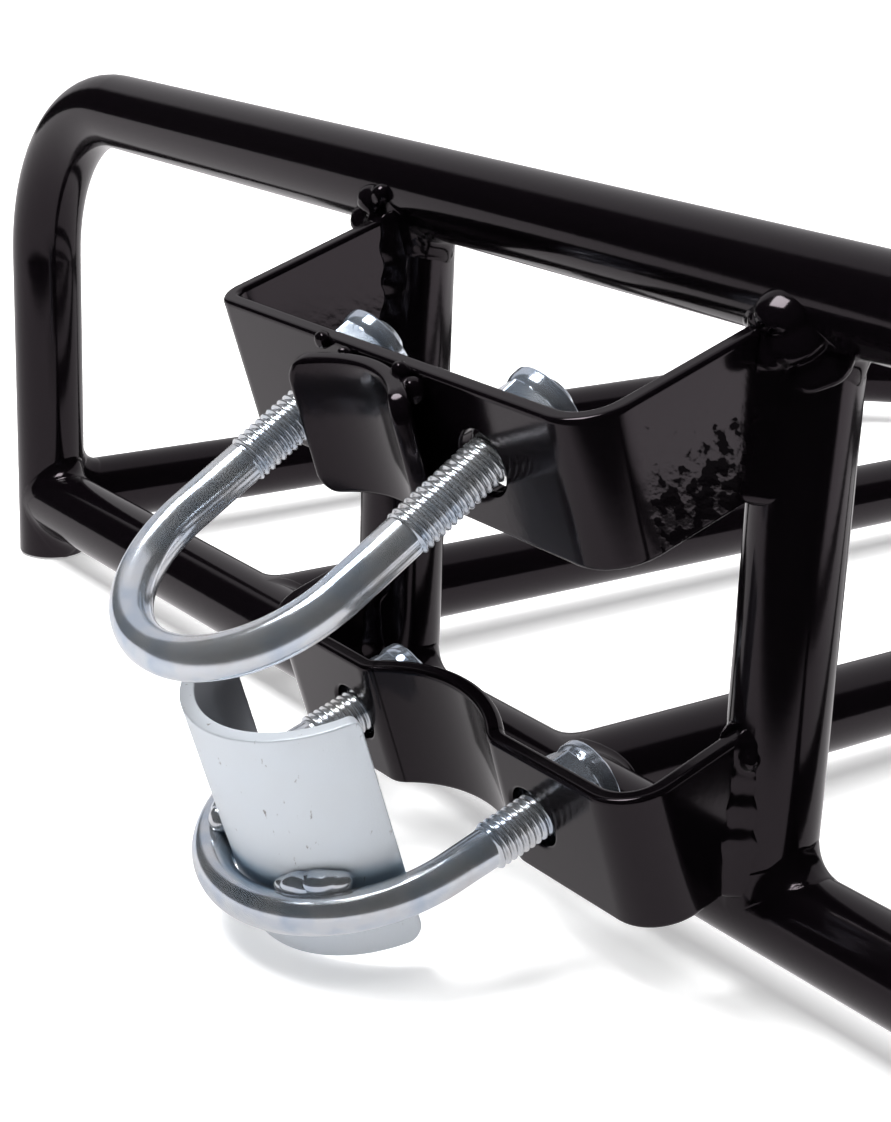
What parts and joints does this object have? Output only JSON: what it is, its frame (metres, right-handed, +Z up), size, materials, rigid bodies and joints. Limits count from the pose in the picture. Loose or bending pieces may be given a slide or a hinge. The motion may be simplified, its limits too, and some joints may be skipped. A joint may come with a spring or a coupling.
{
  "type": "front luggage carrier",
  "caption": "Rigid welded steel-tube carrier with a low upright fence and a flat load platform, clamped round a cycle's head tube by U-bolts through two bent strip brackets.",
  "frame": {"origin": "middle of the bounding box at ground level, where the ends of the two feet stand", "axes": "+Z up; +Y away from the cycle, along the load platform; +X to the right for someone looking along +Y; the clamps face -Y"},
  "size_m": [0.4176, 0.3931, 0.1195],
  "materials": {
    "black_powder_coat": "gloss black powder coat over steel, pebbled on the bracket arms and lumpy over the weld beads",
    "bright_zinc": "bright bluish zinc plate on steel, with long streaks on the rod and rolled threads",
    "satin_zinc": "satin zinc plate on steel, finely scratched, with a faint heat tint beside the weld"
  },
  "bodies": {
    "rack": {"fence_loop": "black_powder_coat", "bottom_rail": "black_powder_coat", "post_left": "black_powder_coat", "post_right": "black_powder_coat", "platform_loop": "black_powder_coat", "slat_left": "black_powder_coat", "slat_middle": "black_powder_coat", "slat_right": "black_powder_coat", "upper_bracket": "black_powder_coat", "lower_bracket": "black_powder_coat", "upper_saddle": "black_powder_coat", "frame_welds": "black_powder_coat", "bracket_welds": "black_powder_coat", "saddle_welds": "black_powder_coat", "lower_washer_left": "bright_zinc", "lower_washer_right": "bright_zinc"},
    "upper_washers": {"upper_washer_left": "bright_zinc", "upper_washer_right": "bright_zinc"},
    "upper_u_bolt": {"upper_u_bolt": "bright_zinc"},
    "upper_nut_left": {"upper_nut_left": "bright_zinc"},
    "upper_nut_right": {"upper_nut_right": "bright_zinc"},
    "lower_u_bolt": {"lower_u_bolt": "bright_zinc", "clamp_shell": "satin_zinc", "shell_welds": "bright_zinc"},
    "lower_nut_left": {"lower_nut_left": "bright_zinc"},
    "lower_nut_right": {"lower_nut_right": "bright_zinc"}
  },
  "joints": [
    {"name": "upper_clamp_tilt", "type": "hinge", "parent": "rack", "child": "upper_washers", "pos_m": [0, -0.14831, 0.08409], "axis": [-1, 0, 0], "range_deg": [0, 14.2]},
    {"name": "upper_u_bolt_slide", "type": "slide", "parent": "upper_washers", "child": "upper_u_bolt", "axis": [0, 0.8368, 0.5476], "range_m": [0, 0.015]},
    {"name": "upper_nut_left_turn", "type": "hinge", "parent": "upper_washers", "child": "upper_nut_left", "pos_m": [-0.0225, -0.14831, 0.08409], "axis": [0, -0.8368, -0.5476], "range_deg": [0, 4321]},
    {"name": "upper_nut_right_turn", "type": "hinge", "parent": "upper_washers", "child": "upper_nut_right", "pos_m": [0.0225, -0.14831, 0.08409], "axis": [0, -0.8368, -0.5476], "range_deg": [0, 4321]},
    {"name": "lower_u_bolt_slide", "type": "slide", "parent": "rack", "child": "lower_u_bolt", "axis": [0, 0.9455, 0.3256], "range_m": [0, 0.012]},
    {"name": "lower_nut_left_turn", "type": "hinge", "parent": "rack", "child": "lower_nut_left", "pos_m": [-0.0255, -0.13725, 0.02433], "axis": [0, -0.9455, -0.3256], "range_deg": [0, 3457]},
    {"name": "lower_nut_right_turn", "type": "hinge", "parent": "rack", "child": "lower_nut_right", "pos_m": [0.0255, -0.13725, 0.02433], "axis": [0, -0.9455, -0.3256], "range_deg": [0, 3457]}
  ],
  "couplings": [
    {"joint": "upper_nut_left_turn", "follows": "upper_u_bolt_slide", "rad_per_m": 5026.5},
    {"joint": "upper_nut_right_turn", "follows": "upper_u_bolt_slide", "rad_per_m": 5026.5},
    {"joint": "lower_nut_left_turn", "follows": "lower_u_bolt_slide", "rad_per_m": 5026.5},
    {"joint": "lower_nut_right_turn", "follows": "lower_u_bolt_slide", "rad_per_m": 5026.5}
  ]
}
